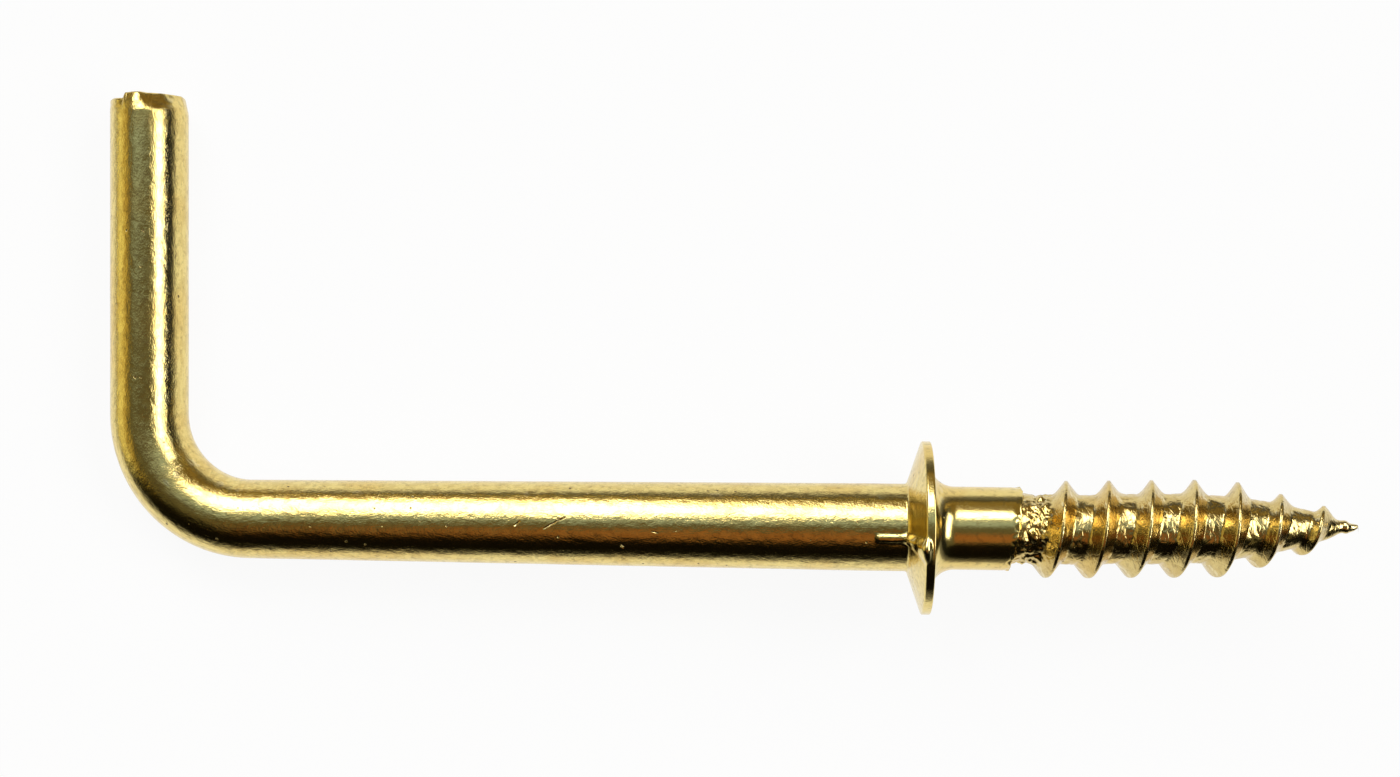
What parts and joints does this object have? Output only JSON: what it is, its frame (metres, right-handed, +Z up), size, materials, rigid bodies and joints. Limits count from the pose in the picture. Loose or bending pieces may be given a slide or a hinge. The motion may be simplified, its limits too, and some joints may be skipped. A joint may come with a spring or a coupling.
{
  "type": "cup hook",
  "caption": "Shouldered square-bend cup hook: round wire arm, upset conical collar, plain neck and a coarse gimlet-point wood screw thread, brass plated.",
  "frame": {"origin": "middle of the bounding box's underside, on the surface the hook lies on", "axes": "the hook lies as it comes to rest, on its arm and its collar's rim: +Z up, +X towards the screw's point, +Y towards the arm's free end"},
  "size_m": [0.0572, 0.0238, 0.0079],
  "materials": {
    "brass_plate": "thin bright brass plating over drawn and cold-headed steel wire, finely pitted and lightly scuffed"
  },
  "bodies": {
    "root": {"cup_hook": "brass_plate"}
  },
  "joints": []
}
